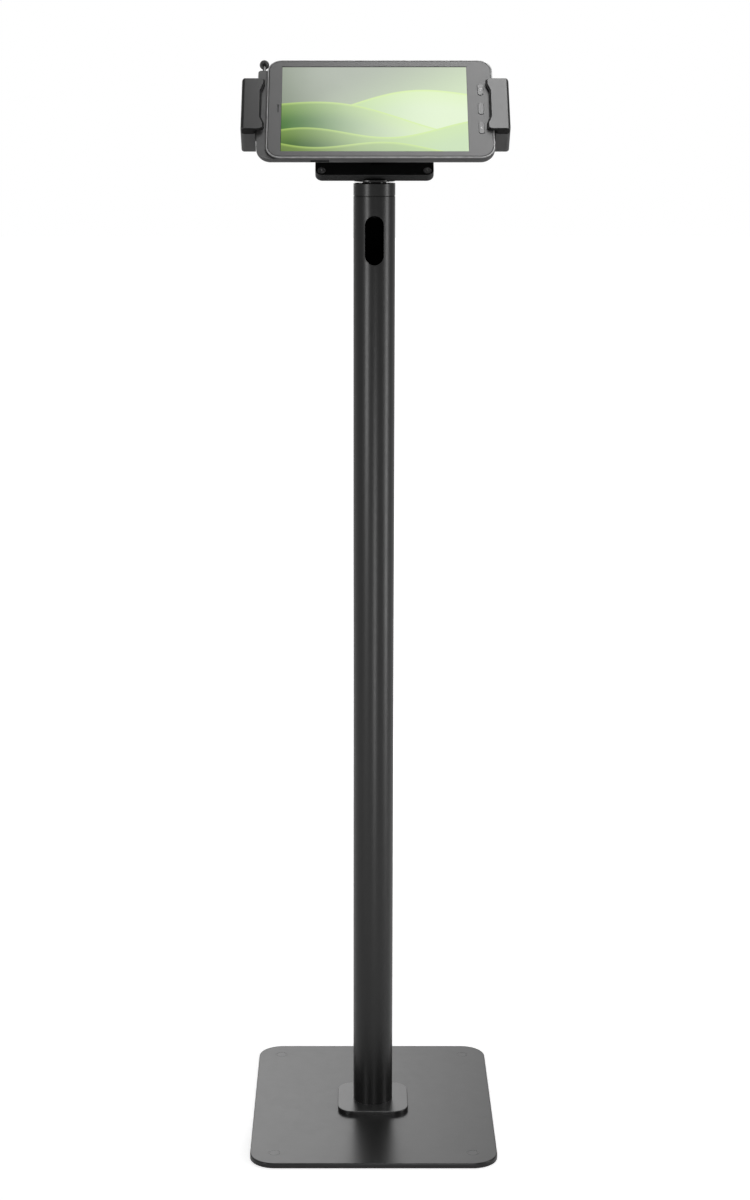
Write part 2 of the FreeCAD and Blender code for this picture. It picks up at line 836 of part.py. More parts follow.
def make_holder_rear_shell():
    half = holder_half_width
    wall = holder_wall
    shell = slab(-half, half, holder_y0, holder_y1, tray_back, tray_front,
                 holder_corner_radius, bottom_round=holder_edge_round)
    inside = slab(-half + wall, half - wall, holder_y0 + wall, holder_y1 - wall, tray_inside, tray_front,
                  holder_corner_radius - wall)
    shell = shell.cut(inside)
    adds = [rod(x, y, tray_inside, tray_front, boss_radius) for x, y in holder_screw_places()]
    guide_end = half - wall
    for x0, x1 in ((arm_inner_x, guide_end), (-guide_end, -arm_inner_x)):
        for y in (arm_y0 - slip_gap - guide_thickness, arm_y1 + slip_gap):
            adds.append(block(x0, x1, y, y + guide_thickness, tray_inside, tray_inside + guide_height))
    shell = shell.fuse(adds)
    cuts = [rod(0, 0, tray_back, tray_inside, axle_radius + press_gap)]
    cuts.append(rod(stop_track_radius, 0, tray_back, tray_inside, stop_pin_radius + press_gap))
    for x, y in holder_screw_places():
        cuts.append(rod(x, y, tray_back, tray_front, m3_radius + press_gap))
        cuts.append(rod(x, y, tray_back, tray_back + holder_screw_head_depth(), m3_head_radius + press_gap))
    for side in (-1, 1):
        x = side * lock_screw_x
        cuts.append(rod(x, jaw_centre_y, tray_back, tray_inside, lock_screw_radius + press_gap))
        x0, x1 = sorted((side * (half - 2 * wall), side * (half + wall)))
        cuts.append(block(x0, x1, arm_y0 - slip_gap, arm_y1 + slip_gap, tray_inside, arm_front + slip_gap))
    return in_head(shell.cut(cuts).removeSplitter())


def make_holder_front_lid():
    half = holder_half_width
    lid = slab(-half, half, holder_y0, holder_y1, tray_front, lid_front, holder_corner_radius,
               holder_edge_round)
    rails = []
    rail_end = half - 2 * holder_wall
    for x0, x1 in ((arm_inner_x, rail_end), (-rail_end, -arm_inner_x)):
        for y in (arm_y0 + lid_rail_inset, arm_y1 - lid_rail_inset - lid_rail_width):
            rails.append(block(x0, x1, y, y + lid_rail_width, arm_front + slip_gap, tray_front))
    lid = lid.fuse(rails)
    tip = tray_front + lid_screw_bite + press_gap
    holes = [rod(x, y, tray_front, tip, m3_radius + press_gap) for x, y in holder_screw_places()]
    return in_head(lid.cut(holes).removeSplitter())


def make_holder_screws():
    length = tray_depth - holder_screw_head_depth() + lid_screw_bite
    screw = flipped(cap_screw(m3_radius, m3_head_radius, m3_head_height, length))
    seat = tray_back + holder_screw_head_depth()
    return in_head(group([moved(screw, x, y, seat) for x, y in holder_screw_places()]))


def make_jaw_lock_screws():
    tip = arm_back - press_gap
    screws = []
    for side in (-1, 1):
        x = side * lock_screw_x
        body = rod(x, jaw_centre_y, tray_back + screw_sink, tip, lock_screw_radius)
        socket = moved(hexagon(lock_screw_radius, 0, drive_depth), x, jaw_centre_y, tray_back + screw_sink)
        screws.append(body.cut(socket))
    return in_head(group(screws))


def make_holder_back_pad():
    half_x = back_pad_width / 2
    half_y = back_pad_height / 2
    low = jaw_centre_y - half_y
    high = jaw_centre_y + half_y
    pad = slab(-half_x, half_x, low, high, lid_front, case_back, back_pad_corner, small_round)
    return in_head(pad)


# Jaws, drawn with X running outwards from the side of the case

jaw_y0 = jaw_centre_y - jaw_height / 2
jaw_y1 = jaw_centre_y + jaw_height / 2
jaw_body_x0 = jaw_side_gap + jaw_liner_thickness
jaw_body_x1 = jaw_body_x0 + jaw_body_width
jaw_lip_front = jaw_front_reach - jaw_sheet_thickness
jaw_lip_back = jaw_lip_front - jaw_lip_thickness


def case_side(side):
    return case_x1 if side > 0 else -silo_x0


def place_jaw(shape, side):
    """Puts a jaw piece against the right (1) or left (-1) side of the case."""
    copy = moved(shape, case_side(side), 0, 0)
    if side < 0:
        copy = copy.mirror(point(0, 0, 0), X_AXIS)
    return in_head(copy)


def soften_corners(shape, radius, places):
    return soften(shape, radius, lambda edge: any(is_upright_at(x, y)(edge) for x, y in places))


def jaw_outline(z0, z1, proud=0):
    """The front of a jaw: a plate whose two prongs reach over the edge of the case."""
    tip = -jaw_prong_reach - proud
    notch = -jaw_notch_reach - proud
    low_tip = jaw_y0 + jaw_prong_width
    high_tip = jaw_y1 - jaw_prong_width
    outer_corners = [(jaw_body_x1, jaw_y0), (jaw_body_x1, jaw_y1)]
    tip_corners = [(tip, jaw_y1), (tip, jaw_y0)]
    slopes = [(tip, high_tip), (notch, high_tip - jaw_prong_slope),
              (notch, low_tip + jaw_prong_slope), (tip, low_tip)]
    places = outer_corners + tip_corners[:1] + slopes + tip_corners[1:]
    plate = prism([point(x, y, z0) for x, y in places], z1 - z0)
    plate = soften_corners(plate, jaw_corner_radius, outer_corners)
    plate = soften_corners(plate, jaw_tip_round, tip_corners)
    return soften_corners(plate, jaw_prong_round, slopes)


def inside_bend(inset):
    """A long bar with a round outer front edge, that deep inside the jaw's bent front sheet."""
    far = 2 * jaw_height
    outer = jaw_body_x1 - inset
    front = jaw_front_reach - inset
    bar = block(-far, outer, -far, far, -far, front)
    at_front = lies_at(front)
    return soften(bar, jaw_bend_radius - inset,
                  lambda edge: at_front(edge) and edge.BoundBox.XMin > outer - tiny)


def make_jaw_cover(side):
    """A sheet bent along its outer edge: its front has the prongs, and its side closes the jaw."""
    whole = jaw_outline(-jaw_seam_depth, jaw_front_reach).common(inside_bend(0))
    return place_jaw(whole.cut(inside_bend(jaw_sheet_thickness)), side)


def make_jaw_lip_pad(side):
    """Rubber that fills the cover, shows at its ends and stands out under its prongs."""
    lip = jaw_outline(jaw_lip_back, jaw_lip_front, jaw_lip_proud)
    proud = jaw_end_proud
    seam = slab(jaw_body_x0, jaw_body_x1 - jaw_sheet_thickness, jaw_y0 - proud, jaw_y1 + proud,
                -jaw_seam_depth, jaw_lip_front, jaw_corner_radius)
    pad = lip.fuse(seam).common(inside_bend(jaw_sheet_thickness))
    return place_jaw(pad.removeSplitter(), side)


def jaw_screw_places():
    x = jaw_body_x0 + arm_pocket_depth / 2
    return [(x, jaw_centre_y - jaw_screw_spread), (x, jaw_centre_y + jaw_screw_spread)]


def jaw_screw_tip():
    return arm_front + m4_radius * 2


def make_jaw_body(side):
    body = block(jaw_body_x0, jaw_body_x1, jaw_y0, jaw_y1, jaw_back, -jaw_seam_depth)
    body = soften_corners(body, jaw_corner_radius, [(jaw_body_x1, jaw_y0), (jaw_body_x1, jaw_y1)])
    body = soften(body, jaw_back_round, lies_at(jaw_back))
    cuts = [block(0, jaw_body_x0 + arm_pocket_depth, arm_y0 - press_gap, arm_y1 + press_gap,
                  arm_back - press_gap, arm_front + press_gap)]
    length = jaw_screw_tip() - jaw_back + press_gap
    screw_space = flipped(flat_screw_hole(m4_radius, m4_head_radius, m4_head_height, length))
    for x, y in jaw_screw_places():
        cuts.append(moved(screw_space, x, y, jaw_back))
    return place_jaw(body.cut(cuts), side)


def make_jaw_liner(side):
    margin = jaw_liner_margin
    low = arm_front + margin / 2
    liner = block(jaw_side_gap, jaw_body_x0, jaw_y0 + margin, jaw_y1 - margin, low, -jaw_seam_depth)
    return place_jaw(liner, side)


def make_jaw_arm(side):
    inner = arm_inner_x - case_side(side)
    outer = jaw_body_x0 + arm_pocket_depth - press_gap
    arm = slab(inner, outer, arm_y0, arm_y1, arm_back, arm_front, arm_corner_radius)
    holes = [rod(x, y, arm_back, arm_front, m4_radius + press_gap) for x, y in jaw_screw_places()]
    return place_jaw(arm.cut(holes), side)


def make_jaw_screws(side):
    length = jaw_screw_tip() - jaw_back - screw_sink
    screw = flipped(flat_screw(m4_radius, m4_head_radius, m4_head_height, length))
    screws = [moved(screw, x, y, jaw_back + screw_sink) for x, y in jaw_screw_places()]
    return place_jaw(group(screws), side)


# Tablet and case, drawn in the head's frame

def stylus_x():
    return case_x0 - stylus_from_case


def stylus_end_y():
    """Where the stylus shank stops and its neck and ring begin."""
    return silo_top + stylus_neck_length


def key_x():
    return screen_x + key_from_screen


def key_places():
    return [key_middle_y + step * key_pitch for step in (-1, 0, 1)]


def slit_x():
    return -screen_x - slit_from_screen


def edge_key_hole(length, x):
    hole = stadium(edge_key_width + 2 * key_gap, length + 2 * key_gap, 0, 2 * case_wall)
    hole.rotate(point(0, 0, 0), Z_AXIS, 90)
    hole.rotate(point(0, 0, 0), X_AXIS, 90)
    return moved(hole, x, case_y1 + case_wall / 2, edge_key_z)


def make_silo():
    """The stylus's housing along the case's left side, whose back is rounded as the case's is."""
    wide = slab(silo_x0, case_x1, case_y0, case_y1 + case_corner, case_back, case_front, case_corner,
                bottom_round=case_back_round)
    column = block(silo_x0, case_x0 + case_corner, case_y0, silo_top, case_back, case_front)
    return wide.common(soften_corners(column, silo_corner_radius, [(silo_x0, silo_top)]))


def make_case_shell():
    """A shell with a thin rim round the bezel, and the silo at its left."""
    shell = slab(case_x0, case_x1, case_y0, case_y1, case_back, rim_front, case_corner, rim_round,
                 case_back_round)
    shell = shell.fuse(make_silo()).removeSplitter()
    cuts = [slab(cavity_x0, cavity_x1, cavity_y0, cavity_y1, cavity_floor, case_front,
                 case_corner - case_wall, bottom_round=cavity_round)]
    cuts.append(slab(bezel_x0 - bezel_gap, bezel_x1 + bezel_gap, bezel_y0 - bezel_gap, bezel_y1 + bezel_gap,
                     case_front, 0, bezel_corner_radius + bezel_gap))
    bore = Part.makeCylinder(stylus_radius + slip_gap, stylus_length, point(stylus_x(), silo_top, stylus_z),
                             point(0, -1, 0))
    cuts.append(bore)
    cuts.append(edge_key_hole(power_key_length, power_key_x))
    cuts.append(edge_key_hole(volume_key_length, volume_key_x))
    half_x = port_slot_width / 2
    half_z = port_slot_height / 2
    cuts.append(block(port_x - half_x, port_x + half_x, case_y0 - case_wall, cavity_y0 + cavity_round,
                      port_z - half_z, port_z + half_z))
    return in_head(shell.cut(cuts))


def make_front_bezel():
    bezel = slab(bezel_x0, bezel_x1, bezel_y0, bezel_y1, case_front, 0, bezel_corner_radius, bezel_round)
    cuts = [block(-screen_x, screen_x, -screen_y, screen_y, case_front, 0)]
    hole = stadium(key_width + 2 * key_gap, key_length + 2 * key_gap, case_front, 0)
    for y in key_places():
        cuts.append(moved(hole, key_x(), y, 0))
    cuts.append(moved(stadium(slit_width, slit_length, case_front, 0), slit_x(), 0, 0))
    half_y = slit_length / 2 + mesh_margin + press_gap
    half_x = mesh_width / 2 + press_gap
    x = slit_x()
    cuts.append(block(x - half_x, x + half_x, -half_y, half_y, case_front, case_front + mesh_thickness))
    return in_head(bezel.cut(cuts))


def make_speaker_mesh():
    half_y = slit_length / 2 + mesh_margin
    half_x = mesh_width / 2
    x = slit_x()
    return in_head(block(x - half_x, x + half_x, -half_y, half_y, case_front, case_front + mesh_thickness))


def make_display_glass():
    half_x = screen_x - glass_gap
    half_y = screen_y - glass_gap
    return in_head(block(-half_x, half_x, -half_y, half_y, case_front, case_front + glass_thickness))


def make_display_panel():
    return in_head(slab(frame_x0, frame_x1, frame_y0, frame_y1, frame_front, case_front, frame_corner))


def make_tablet_frame():
    wall = frame_wall
    frame = slab(frame_x0, frame_x1, frame_y0, frame_y1, cavity_floor, frame_front, frame_corner,
                 bottom_round=cavity_round)
    inside = slab(frame_x0 + wall, frame_x1 - wall, frame_y0 + wall, frame_y1 - wall,
                  frame_floor, frame_front, frame_corner - wall, bottom_round=cavity_round - wall)
    half_x = port_width / 2 + press_gap
    half_z = port_height / 2 + press_gap
    port = block(port_x - half_x, port_x + half_x, frame_y0, frame_y0 + port_depth,
                 port_z - half_z, port_z + half_z)
    return in_head(frame.cut([inside, port]))


def make_charging_port():
    """A small socket whose mouth is flush with the tablet's lower wall, with a tongue inside."""
    half_x = port_width / 2
    half_z = port_height / 2
    wall = port_shell
    y0 = frame_y0
    y1 = frame_y0 + port_depth
    outer = block(port_x - half_x, port_x + half_x, y0, y1, port_z - half_z, port_z + half_z)
    back = y1 - port_plate_thickness
    inside = block(port_x - half_x + wall, port_x + half_x - wall, y0, back, port_z - half_z + wall,
                   port_z + half_z - wall)
    tongue_x = half_x - 3 * wall
    tongue_z = port_tongue_thickness / 2
    tongue = block(port_x - tongue_x, port_x + tongue_x, y0 + wall, back,
                   port_z - tongue_z, port_z + tongue_z)
    return in_head(outer.cut(inside).fuse(tongue))


def make_battery_pack():
    half_y = battery_height / 2
    top = frame_floor + battery_thickness
    pack = slab(battery_x0, battery_x1, -half_y, half_y, frame_floor, top, battery_corner, battery_round)
    return in_head(pack)


def make_main_board():
    """Circuit board on four short standoffs, with a few chips."""
    half_y = board_height / 2
    low = frame_floor + standoff_height
    top = low + board_thickness
    board = slab(board_x0, board_x1, -half_y, half_y, low, top, board_corner)
    inset = 2 * standoff_radius
    middle_x = (board_x0 + board_x1) / 2
    adds = [rod(middle_x + x, y, frame_floor, low, standoff_radius)
            for x, y in corners(board_width / 2 - inset, half_y - inset)]
    for chip_x, chip_y, side in chips:
        x0 = middle_x + chip_x - side / 2
        y0 = chip_y - side / 2
        adds.append(block(x0, x0 + side, y0, y0 + side, top, top + chip_height))
    return in_head(board.fuse(adds))


def make_face_key(index):
    key = stadium(key_width, key_length, key_proud - key_depth, key_proud)
    key = soften(key, key_edge_round, lies_at(key_proud))
    return in_head(moved(key, key_x(), key_places()[index], 0))


def make_edge_key(length, x):
    """A key in the upper wall of the case, pressed down the screen."""
    depth = case_wall + edge_key_proud - edge_key_inner_gap
    key = stadium(edge_key_width, length, 0, depth)
    key = soften(key, key_edge_round, lies_at(depth))
    key.rotate(point(0, 0, 0), Z_AXIS, 90)
    key.rotate(point(0, 0, 0), X_AXIS, -90)
    return in_head(moved(key, x, case_y1 + edge_key_proud - depth, edge_key_z))


def make_stylus():
    """A pen in the case's silo, drawn along Y, with a ring at its end that faces the stand's front."""
    x = stylus_x()
    end = stylus_end_y()
    tip_y = silo_top - stylus_length + stylus_tip_length + 2 * slip_gap
    up = point(0, 1, 0)
    shank_end = silo_top + slip_gap
    shank = Part.makeCylinder(stylus_radius, shank_end - tip_y, point(x, tip_y, stylus_z), up)
    tip = Part.makeCone(stylus_tip_radius, stylus_radius, stylus_tip_length,
                        point(x, tip_y - stylus_tip_length, stylus_z), up)
    neck = Part.makeCylinder(stylus_neck_radius, end - shank_end,
                             point(x, shank_end, stylus_z - stylus_neck_offset), up)
    middle = point(x, end + ring_radius * slope_sin, stylus_z)
    facing = point(0, -slope_sin, slope_cos)
    loop = Part.makeTorus(ring_radius, ring_wire, middle, facing)
    web = Part.makeCylinder(ring_radius, ring_web, middle - facing * (ring_web / 2), facing)
    return in_head(shank.fuse([tip, neck, loop, web]).removeSplitter())


NODES = {
    "base_plate": make_base_plate,
    "floor_pads": make_floor_pads,
    "anchor_hole_plugs": make_anchor_plugs,
    "foot_flange": make_foot_flange,
    "flange_screws": make_flange_screws,
    "post_tube": make_post_tube,
    "post_top_plug": make_post_top_plug,
    "swivel_friction_ring": make_swivel_friction_ring,
    "swivel_collar": make_swivel_collar,
    "tilt_yoke": make_tilt_yoke,
    "swivel_bolt": make_swivel_bolt,
    "swivel_spring_washer": make_swivel_spring_washer,
    "swivel_lock_nut": make_swivel_lock_nut,
    "tilt_pin": make_tilt_pin,
    "tilt_pin_nut": make_tilt_pin_nut,
    "tilt_friction_washers": make_tilt_washers,
    "tilt_knuckle": make_tilt_knuckle,
    "knuckle_screws": make_knuckle_screws,
    "mount_front_plate": make_mount_front_plate,
    "mount_rear_plate": make_mount_rear_plate,
    "mount_corner_screws": make_mount_corner_screws,
    "turn_friction_ring": make_turn_friction_ring,
    "turn_axle": make_turn_axle,
    "turn_spring_washer": make_turn_spring_washer,
    "turn_lock_nut": make_turn_lock_nut,
    "turn_stop_pin": make_turn_stop_pin,
    "holder_rear_shell": make_holder_rear_shell,
    "holder_front_lid": make_holder_front_lid,
    "holder_screws": make_holder_screws,
    "jaw_lock_screws": make_jaw_lock_screws,
    "holder_back_pad": make_holder_back_pad,
    "case_shell": make_case_shell,
    "front_bezel": make_front_bezel,
    "speaker_mesh": make_speaker_mesh,
    "display_glass": make_display_glass,
    "display_panel": make_display_panel,
    "tablet_frame": make_tablet_frame,
    "charging_port": make_charging_port,
    "battery_pack": make_battery_pack,
    "main_board": make_main_board,
    "back_key": lambda: make_face_key(0),
    "home_key": lambda: make_face_key(1),
    "menu_key": lambda: make_face_key(2),
    "power_key": lambda: make_edge_key(power_key_length, power_key_x),
    "volume_key": lambda: make_edge_key(volume_key_length, volume_key_x),
    "stylus": make_stylus,
}
JAW_PIECES = {
    "jaw_arm": make_jaw_arm,
    "jaw_body": make_jaw_body,
    "jaw_cover": make_jaw_cover,
    "jaw_lip_pad": make_jaw_lip_pad,
    "jaw_liner": make_jaw_liner,
    "jaw_screws": make_jaw_screws,
}


def main():
    os.makedirs("parts", exist_ok=True)
    shapes = {name: make() for name, make in NODES.items()}
    for label, side in (("left", -1), ("right", 1)):
        for name, make in JAW_PIECES.items():
            shapes[f"{label}_{name}"] = make(side)
    for name, shape in shapes.items():
        shape.exportStep(f"parts/{name}.step")
    print(len(shapes), "nodes; tilt pin at", round(pin_y, 3), round(pin_z, 3),
          "; screen centre at", round(face_y, 3), round(face_z, 3))


main()
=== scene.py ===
import math

import bpy
from mathutils import Euler, Matrix, Vector


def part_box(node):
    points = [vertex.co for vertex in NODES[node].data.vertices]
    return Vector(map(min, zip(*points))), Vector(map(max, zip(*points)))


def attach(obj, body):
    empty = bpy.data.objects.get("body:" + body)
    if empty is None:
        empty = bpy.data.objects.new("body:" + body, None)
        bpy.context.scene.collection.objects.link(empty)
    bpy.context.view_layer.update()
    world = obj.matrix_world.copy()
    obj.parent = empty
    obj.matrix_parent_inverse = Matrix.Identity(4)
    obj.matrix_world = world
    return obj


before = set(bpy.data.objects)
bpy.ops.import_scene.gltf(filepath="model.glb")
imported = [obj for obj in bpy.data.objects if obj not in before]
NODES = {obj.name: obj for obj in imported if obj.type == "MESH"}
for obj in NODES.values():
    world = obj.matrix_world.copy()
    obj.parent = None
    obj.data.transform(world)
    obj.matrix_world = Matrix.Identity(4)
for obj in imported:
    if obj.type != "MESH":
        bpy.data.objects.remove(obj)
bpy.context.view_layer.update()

# Looks of the tablet floor stand: materials, raised key marks, black sheets of painted shade in the post's
# slots, floor, lamps and camera.
# Metres, in the part's own frame. The head's frame has X to the right, Y up the screen, Z out of it.

MM = 0.001

# Forms that the looks go by. In the head's frame: the screen's half width and height, and how high the
# glass's front and the foot of the case's raised rim lie. In the stand's: the head, the post's axis and the
# inside of its tube, and the middle and the inside of the stylus's eye.
HEAD_PLACE = Vector((0, -0.747, 1012.777)) * MM
HEAD_TILT = math.radians(45)
HEAD = Matrix.Translation(HEAD_PLACE) @ Matrix.Rotation(HEAD_TILT, 4, "X")
SCREEN_HALF = (88.2 * MM, 54.8 * MM)
GLASS_FRONT = -0.5 * MM
RIM_FOOT = -0.8 * MM
POST_AXIS = (0, 2 * MM, 0)
TUBE_INSIDE = 19.8 * MM
STYLUS_EYE = HEAD @ Vector((-105.4 * MM, 63.36 * MM, -6.6 * MM))
EYE_INSIDE = 1.75 * MM


# Colours

def srgb(red, green, blue):
    """A colour given as 0 to 255 per channel, as linear light."""
    def linear(level):
        share = level / 255
        return share / 12.92 if share <= 0.04045 else ((share + 0.055) / 1.055) ** 2.4
    return (linear(red), linear(green), linear(blue), 1.0)


def grey(level):
    return srgb(level, level, level)


def scaled(colour, factor, lift=0.0):
    """The colour made darker or lighter."""
    return [min(channel * factor + lift, 1.0) for channel in colour[:3]] + [1.0]


# Shader building blocks

# How an edge's rounded normal lies to its flat one, as their dot product: where the wear and painted
# highlight starts, and where it is full.
EDGE_LEAN = (0.995, 0.86)
EDGE_SAMPLES = 4
# The share of open air at which the painted shade in seams is full and at which it ends.
OPEN_AIR = (0.30, 0.78)
OPEN_AIR_SAMPLES = 6
# The share of a face's normal that points up or down: upright below the first, flat above the second.
UPRIGHT = (0.2, 0.8)
# Noise below the first value counts as none, above the second as full.
NOISE_BAND = (0.3, 0.7)
SMUDGE_BAND = (0.35, 0.65)


class Nodes:
    """A node tree, with short calls for the nodes that repeat."""

    def __init__(self, tree):
        self.tree = tree

    def link(self, source, target):
        self.tree.links.new(source, target)

    def add(self, kind, values=None, **settings):
        """A node with these settings. A value is a plain one, or a socket to link."""
        node = self.tree.nodes.new(kind)
        for key, value in settings.items():
            setattr(node, key, value)
        for key, value in (values or {}).items():
            if isinstance(value, bpy.types.NodeSocket):
                self.link(value, node.inputs[key])
            else:
                node.inputs[key].default_value = value
        return node

    def math(self, operation, first, second=0.0):
        return self.add("ShaderNodeMath", {0: first, 1: second}, operation=operation).outputs[0]

    def spread(self, value, low, high, new_low, new_high, kind="LINEAR"):
        """The value taken from one range to another, held at its ends."""
        values = {"Value": value, "From Min": low, "From Max": high, "To Min": new_low, "To Max": new_high}
        return self.add("ShaderNodeMapRange", values, interpolation_type=kind).outputs["Result"]

    def blend(self, share, first, second):
        """Two colours mixed."""
        return self.add("ShaderNodeMix", {0: share, 6: first, 7: second}, data_type="RGBA").outputs[2]

    def pick(self, share, first, second):
        """Two numbers mixed."""
        return self.add("ShaderNodeMix", {0: share, 2: first, 3: second}, data_type="FLOAT").outputs[0]


class Shader(Nodes):
    """A material's nodes, round one surface."""

    def __init__(self, name):
        self.material = bpy.data.materials.new(name)
        self.material.use_nodes = True
        super().__init__(self.material.node_tree)
        self.tree.nodes.clear()
        output = self.add("ShaderNodeOutputMaterial")
        self.surface = self.add("ShaderNodeBsdfPrincipled")
        self.link(self.surface.outputs[0], output.inputs["Surface"])

    def noise(self, place, size, detail=2.0, rough=0.5):
        """Noise whose lumps are about this wide, in metres."""
        values = {"Vector": place, "Scale": 1 / size, "Detail": detail, "Roughness": rough}
        return self.add("ShaderNodeTexNoise", values).outputs[0]

    def place(self, in_head=False, stretch=(1, 1, 1)):
        """Where a point lies on the object, in the stand's frame or in the head's."""
        spot = self.add("ShaderNodeTexCoord").outputs["Object"]
        if in_head:
            values = {"Vector": spot, "Location": HEAD_PLACE, "Rotation": Euler((HEAD_TILT, 0, 0))}
            spot = self.add("ShaderNodeMapping", values, vector_type="TEXTURE").outputs[0]
        if stretch != (1, 1, 1):
            spot = self.add("ShaderNodeMapping", {"Vector": spot, "Scale": stretch}).outputs[0]
        return spot

    def edges(self, radius):
        """1 along the part's sharp edges, 0 on its flats."""
        rounded = self.add("ShaderNodeBevel", {"Radius": radius}, samples=EDGE_SAMPLES).outputs[0]
        flat = self.add("ShaderNodeNewGeometry").outputs["Normal"]
        lean = self.add("ShaderNodeVectorMath", {0: rounded, 1: flat}, operation="DOT_PRODUCT")
        return self.spread(lean.outputs["Value"], *EDGE_LEAN, 0.0, 1.0)

    def grime(self, reach):
        """Painted shade: 1 deep in seams and corners closer than this reach, 0 in the open."""
        air = self.add("ShaderNodeAmbientOcclusion", {"Distance": reach}, samples=OPEN_AIR_SAMPLES)
        return self.spread(air.outputs["AO"], *OPEN_AIR, 1.0, 0.0)

    def bumps(self, *layers):
        """Bumps laid over each other, each a height socket and its depth in metres."""
        normal = None
        for height, depth in layers:
            values = {"Height": height, "Distance": depth, "Strength": 1.0}
            if normal:
                values["Normal"] = normal
            normal = self.add("ShaderNodeBump", values).outputs[0]
        self.link(normal, self.surface.inputs["Normal"])

    def set(self, **values):
        for key, value in values.items():
            socket = self.surface.inputs[key.replace("_", " ")]
            if isinstance(value, bpy.types.NodeSocket):
                self.link(value, socket)
            else:
                socket.default_value = value


def above(m, level, feather):
    """1 in front of this height over the screen's plane, 0 behind it."""
    axes = m.add("ShaderNodeSeparateXYZ", {0: m.place(in_head=True)}).outputs
    return m.spread(axes[2], level - feather, level + feather, 0.0, 1.0)


def upright(m, share):
    """This share on faces that stand upright, 0 on flat ones."""
    normal = m.add("ShaderNodeNewGeometry").outputs["Normal"]
    upward = m.math("ABSOLUTE", m.add("ShaderNodeSeparateXYZ", {0: normal}).outputs[2])
    return m.spread(upward, *UPRIGHT, share, 0.0)


def near_axis(m, point, direction, radius, feather):
    """1 within this radius of a line through the point, 0 outside: a bore or a tube's inside."""
    away = m.add("ShaderNodeVectorMath", {0: m.place(), 1: point}, operation="SUBTRACT").outputs[0]
    aside = m.add("ShaderNodeVectorMath", {0: away, 1: direction}, operation="CROSS_PRODUCT").outputs[0]
    length = m.add("ShaderNodeVectorMath", {0: aside}, operation="LENGTH").outputs["Value"]
    return m.spread(length, radius - feather, radius + feather, 1.0, 0.0)


# Finishes

CLOUD_SIZE = 45 * MM
CLOUD_DEPTH = 0.05 * MM
SMUDGE_SIZE = 9 * MM
# Painted shade: how far the shade in seams and corners reaches, its colour, and the near black painted where
# a mask gives it.
SEAM_REACH = 2.0 * MM
PAINTED_SEAM_SHADE = grey(6)
SHADE = grey(3)
WORN_POLISH = 0.08
STAIN_SIZE = 6 * MM
PIT_SIZE = 0.35 * MM
PIT_DEPTH = 0.03 * MM
BLOOM_SIZE = 7 * MM
TRACK_PITCH = 2.6 * MM
TRACK_EDGE = 0.07
TRACK_DEPTH = 0.03 * MM
MASK_PATCH = 12 * MM
MESH_PITCH = 0.45 * MM
MESH_HOLE = (0.2, 0.34)
MESH_DEPTH = 0.08 * MM


def coat(name, colour, rough, in_head=False, grain=0.5 * MM, depth=0.012 * MM, mottle=0.08, worn=None,
         wear=0.35, edge=0.5 * MM, specular=0.5, uneven=1.0, grime=0.8, ridge=None, shaded=None):
    """Powder coat or moulded plastic: a fine-grained skin, faintly uneven, lighter along its edges as wear
    and painted highlight, darkened by painted shade in its seams and corners. A raised rim can take a
    painted highlight and any face a painted near-black shade, each by a function that gives its share."""
    m = Shader(name)
    spot = m.place(in_head)
    grains = m.noise(spot, grain, 3.0, 0.6)
    clouds = m.noise(spot, CLOUD_SIZE, 3.0, 0.55)
    smudges = m.noise(spot, SMUDGE_SIZE, 4.0, 0.6)
    light = scaled(colour, 1 + mottle)
    base = m.blend(m.spread(clouds, *NOISE_BAND, 0.0, 1.0), scaled(colour, 1 - mottle), light)
    base = m.blend(m.spread(grains, 0.35, 0.7, 0.0, 0.5), base, light)
    # Edges, and a raised rim where one is given, are painted lighter: partly wear, partly painted highlight.
    wear_and_highlight_mask = m.math("MULTIPLY", m.edges(edge), m.spread(smudges, *SMUDGE_BAND, 0.4, 1.0))
    wear_and_highlight_mask = m.math("MULTIPLY", wear_and_highlight_mask, wear)
    if ridge:
        rim = m.math("MULTIPLY", ridge(m), m.spread(smudges, *SMUDGE_BAND, 0.6, 1.0))
        wear_and_highlight_mask = m.math("MAXIMUM", wear_and_highlight_mask, rim)
    base = m.blend(wear_and_highlight_mask, base, worn or scaled(colour, 2.2, 0.02))
    # Painted shade darkens seams and corners.
    base = m.blend(m.math("MULTIPLY", m.grime(SEAM_REACH), grime), base, PAINTED_SEAM_SHADE)
    # Painted near-black shade where the shaded mask gives it.
    if shaded:
        base = m.blend(shaded(m), base, SHADE)
    m.set(Base_Color=base, Specular_IOR_Level=specular)
    dull = m.spread(smudges, *NOISE_BAND, rough - 0.04 * uneven, rough + 0.05 * uneven)
    m.set(Roughness=m.math("ADD", dull, m.math("MULTIPLY", wear_and_highlight_mask, -WORN_POLISH)))
    m.bumps((grains, depth), (clouds, CLOUD_DEPTH * uneven))
    return m.material


def metal(name, colour, rough, in_head=False, along="x", grain=0.12 * MM, lines=14 * MM, depth=0.004 * MM):
    """Bare or plated metal with fine tool lines along one axis."""
    m = Shader(name)
    thin = [1 / grain, 1 / grain, 1 / grain]
    thin["xyz".index(along)] = 1 / lines
    streaks = m.noise(m.place(in_head, tuple(thin)), 1.0, 2.0, 0.6)
    stains = m.noise(m.place(in_head), STAIN_SIZE, 4.0, 0.6)
    dark = scaled(colour, 0.8)
    base = m.blend(m.spread(streaks, *NOISE_BAND, 0.0, 1.0), dark, scaled(colour, 1.15))
    base = m.blend(m.spread(stains, 0.45, 0.75, 0.0, 0.35), base, dark)
    m.set(Base_Color=base, Metallic=1.0)
    m.set(Roughness=m.math("ADD", m.spread(streaks, *NOISE_BAND, rough - 0.06, rough + 0.06),
                           m.spread(stains, 0.4, 0.8, 0.0, 0.12)))
    m.bumps((streaks, depth))
    return m.material


